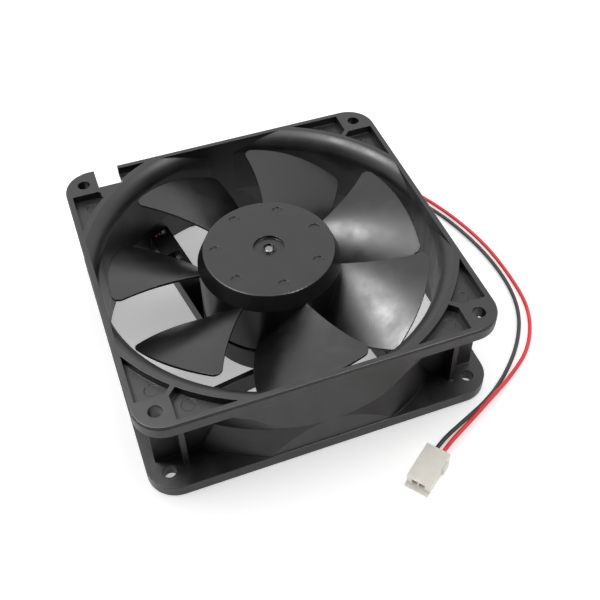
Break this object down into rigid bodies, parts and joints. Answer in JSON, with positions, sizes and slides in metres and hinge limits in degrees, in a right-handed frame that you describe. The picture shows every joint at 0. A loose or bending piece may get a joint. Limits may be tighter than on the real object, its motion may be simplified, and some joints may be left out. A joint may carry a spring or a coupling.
{
  "type": "case fan",
  "caption": "Square axial case fan: open-flange frame, seven-blade impeller on ball bearings, brushless hub motor, and two loose leads to a two-way connector.",
  "frame": {"origin": "centre of the square outlet face, the face it stands on", "axes": "+Z along the rotor's axis from outlet to inlet, +X and +Y along the frame's sides"},
  "size_m": [0.1516, 0.1666, 0.038],
  "materials": {
    "frame_plastic": "fine matt moulded black",
    "impeller_plastic": "satin moulded black",
    "label_film": "satin film, blank",
    "brass": "turned",
    "core_steel": "stamped stack, rolled sheet",
    "insulator_nylon": "moulded",
    "copper_wire": "enamelled",
    "pin_metal": "tinned",
    "board_laminate": "solder mask",
    "chip_epoxy": "matt",
    "capacitor_ceramic": "matt",
    "solder": "bright",
    "bearing_steel": "ground",
    "shield_steel": "stamped",
    "yoke_steel": "drawn, zinc plated",
    "magnet_ferrite": "bonded ferrite",
    "spring_steel": "drawn wire",
    "washer_plastic": "smooth",
    "red_insulation": "smooth soft sheath",
    "black_insulation": "smooth soft sheath",
    "connector_nylon": "translucent ivory",
    "terminal_tin": "tinned"
  },
  "bodies": {
    "housing": {"frame_housing": "frame_plastic", "motor_label": "label_film", "bearing_tube": "brass", "stator_core": "core_steel", "upper_insulator": "insulator_nylon", "lower_insulator": "insulator_nylon", "stator_windings": "copper_wire", "winding_pins": "pin_metal", "circuit_board": "board_laminate", "hall_sensor": "chip_epoxy", "driver_chip": "chip_epoxy", "chip_resistors": "chip_epoxy", "polarity_diode": "chip_epoxy", "filter_capacitor": "capacitor_ceramic", "lead_solder_joints": "solder", "upper_bearing_outer_ring": "bearing_steel", "lower_bearing_outer_ring": "bearing_steel", "upper_bearing_shields": "shield_steel", "lower_bearing_shields": "shield_steel", "lead_red": "red_insulation", "channel_lead_red": "red_insulation", "lead_black": "black_insulation", "channel_lead_black": "black_insulation", "connector_housing": "connector_nylon", "crimp_terminals": "terminal_tin"},
    "rotor": {"impeller": "impeller_plastic", "rotor_yoke": "yoke_steel", "ring_magnet": "magnet_ferrite", "shaft": "bearing_steel", "shaft_bushing": "brass", "upper_bearing_inner_ring": "bearing_steel", "lower_bearing_inner_ring": "bearing_steel", "preload_spring": "spring_steel", "retaining_ring": "spring_steel", "thrust_washer": "washer_plastic"},
    "upper_bearing_cage": {"upper_ball_set": "bearing_steel", "upper_ball_cage": "shield_steel"},
    "lower_bearing_cage": {"lower_ball_set": "bearing_steel", "lower_ball_cage": "shield_steel"}
  },
  "joints": [
    {"name": "rotor_spin", "type": "hinge", "parent": "housing", "child": "rotor", "pos_m": [0, 0, 0.018], "axis": [0, 0, 1], "continuous": true},
    {"name": "upper_cage_spin", "type": "hinge", "parent": "housing", "child": "upper_bearing_cage", "pos_m": [0, 0, 0.0274], "axis": [0, 0, 1], "continuous": true},
    {"name": "lower_cage_spin", "type": "hinge", "parent": "housing", "child": "lower_bearing_cage", "pos_m": [0, 0, 0.0084], "axis": [0, 0, 1], "continuous": true}
  ],
  "couplings": [
    {"joint": "upper_cage_spin", "follows": "rotor_spin", "ratio": 0.387},
    {"joint": "lower_cage_spin", "follows": "rotor_spin", "ratio": 0.387}
  ]
}
